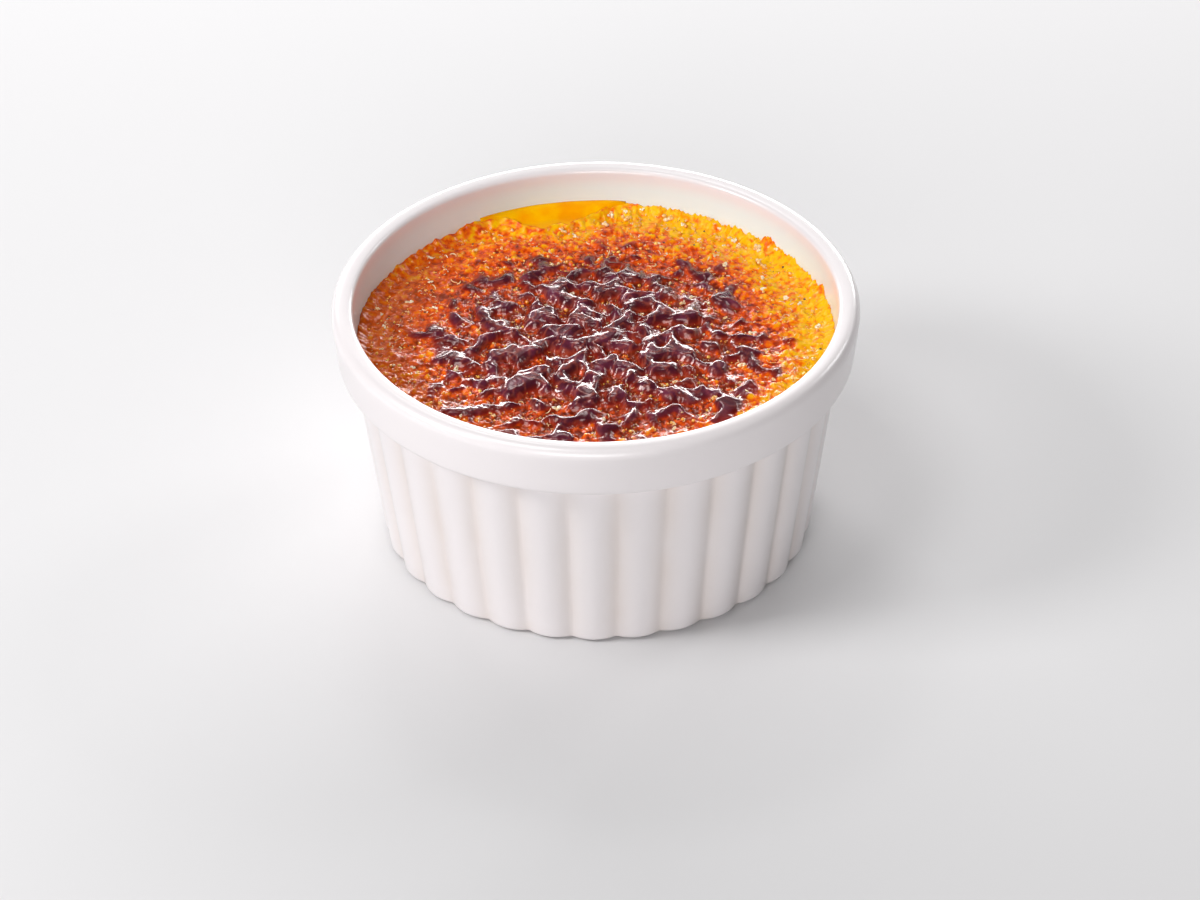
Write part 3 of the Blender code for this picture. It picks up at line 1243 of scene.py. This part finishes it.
def sugar_bits(crust: CaramelCrust) -> list[Scatter]:
    """List the small bits that lie on the plate.

    Args:
        crust: the plate that they lie on.

    Returns:
        One scatter for each kind of bit.
    """
    gold = ClearSugar("clear_sugar_drops", "#F08A10", "#FFC24A")
    # The cream films and the whitish froth are pale as thin sugar is, and painted paler still as
    # painted glints.
    cream = ClearSugar("thin_sugar_film_painted_glint", "#F4A050", "#FFDCA0")
    white = ClearSugar("pale_sugar_froth_painted_glint", "#FFC060", "#FFF0CC")
    ball = Grain.ball()
    rim = Grain.arc(math.radians(200.0), 0.24)
    thread = Grain.arc(math.radians(110.0), 0.12)
    return [
        Scatter("sugar_beads", crust, ball, gold, count=850, smallest=0.12, largest=0.42,
                flatness=0.8, lift=0.15, seed=Seed.BEADS),
        Scatter("bubble_rims", crust, rim, cream, count=900, smallest=0.16, largest=0.50,
                flatness=1.0, lift=0.05, seed=Seed.BUBBLE_RIMS, most_scorch=0.30),
        Scatter("long_rims", crust, thread, cream, count=110, smallest=0.5, largest=1.2,
                flatness=0.8, lift=0.04, seed=Seed.LONG_RIMS, most_scorch=0.4, outer=0.85),
        Scatter("sugar_froth", crust, froth(Seed.LOOSE_CLUSTER), white, count=240, smallest=0.18,
                largest=0.60, flatness=0.8, lift=0.1, seed=Seed.LOOSE_FROTH, most_scorch=0.30,
                inner=0.1),
        Scatter("rim_froth", crust, froth(Seed.WALL_CLUSTER), white, count=30, smallest=0.30,
                largest=0.85, flatness=0.8, lift=0.2, seed=Seed.WALL_FROTH, most_scorch=1.0,
                inner=0.89, outer=0.985, sector=(36.0, 88.0)),
        Scatter("char_specks", crust, ball, Char(), count=120, smallest=0.09, largest=0.24,
                flatness=0.5, lift=0.3, seed=Seed.SPECKS, most_scorch=0.1, inner=0.55),
    ]


# ---------------------------------------------------------------- studio

@dataclass(frozen=True)
class SoftBox:
    """One soft box that faces the dish: place and size in millimetres, power in watts."""

    name: str
    place: tuple[float, float, float]
    size: tuple[float, float]
    power: float

    def hang(self, target: Vector) -> None:
        """Add the light.

        Args:
            target: what it faces, in metres.
        """
        data = bpy.data.lights.new(self.name, "AREA")
        data.shape = "RECTANGLE"
        data.size, data.size_y = (side * MM for side in self.size)
        data.energy = self.power
        lamp = bpy.data.objects.new(self.name, data)
        lamp.location = Vector(self.place) * MM
        lamp.rotation_euler = (target - lamp.location).to_track_quat("-Z", "Y").to_euler()
        bpy.context.scene.collection.objects.link(lamp)


@dataclass(frozen=True)
class Studio:
    """Floor, soft lights and the camera."""

    eye: tuple[float, float, float] = (0.483, -717.751, 523.368)
    pitch: float = 35.39
    roll: float = -0.60
    lens: float = 152.36
    room: str = "#FBFAFB"
    room_strength: float = 0.08
    card: str = "#DAD9DA"
    aim: tuple[float, float, float] = (0.0, 0.0, 30.0)
    sensor: float = 36.0
    boxes: tuple[SoftBox, ...] = (
        SoftBox("key_left", (-560.0, -160.0, 460.0), (200.0, 200.0), 2.55),
        SoftBox("overhead", (-260.0, -160.0, 850.0), (300.0, 300.0), 2.0),
        SoftBox("front_fill", (-120.0, -900.0, 400.0), (600.0, 400.0), 4.2),
        SoftBox("back_low", (0.0, 700.0, 200.0), (860.0, 150.0), 6.2),
        SoftBox("back_right", (450.0, 350.0, 400.0), (160.0, 160.0), 0.6),
        SoftBox("spark_back", (-80.0, 420.0, 520.0), (140.0, 90.0), 0.3),
    )

    def floor(self) -> None:
        """Lay a pale matt floor."""
        bpy.ops.mesh.primitive_plane_add(size=8.0, location=(0.0, 0.0, -0.0002))
        floor = bpy.context.object
        floor.name = "floor"
        shader = Shader("pale_matt_card", Roughness=0.8, Specular_IOR_Level=0.2,
                        Base_Color=linear(self.card))
        floor.data.materials.append(shader.material)

    def build(self) -> None:
        """Set the world, the lights and the camera."""
        scene = bpy.context.scene
        world = bpy.data.worlds.new("pale_room")
        world.use_nodes = True
        background = world.node_tree.nodes["Background"]
        background.inputs["Color"].default_value = linear(self.room)
        background.inputs["Strength"].default_value = self.room_strength
        scene.world = world
        scene.view_settings.view_transform = "Standard"
        self.floor()
        for box in self.boxes:
            box.hang(Vector(self.aim) * MM)
        data = bpy.data.cameras.new("camera")
        data.lens = self.lens
        data.sensor_width = self.sensor
        data.clip_start = 0.01
        camera = bpy.data.objects.new("camera", data)
        turn = Matrix.Rotation(math.radians(90.0 - self.pitch), 4, "X")
        turn @= Matrix.Rotation(math.radians(self.roll), 4, "Z")
        camera.matrix_world = Matrix.Translation(Vector(self.eye) * MM) @ turn
        scene.collection.objects.link(camera)
        scene.camera = camera


def main() -> None:
    """Build the object and its studio."""
    logging.basicConfig(level=logging.INFO, format="%(name)s: %(message)s")
    dish = Ramekin()
    outline = FillOutline()
    crust = CaramelCrust(outline, dish, BlisterRelief())
    dish.build()
    Custard(outline, dish).build()
    crust.build()
    for bits in sugar_bits(crust):
        bits.build()
    Studio().build()


if __name__ == "__main__":
    main()
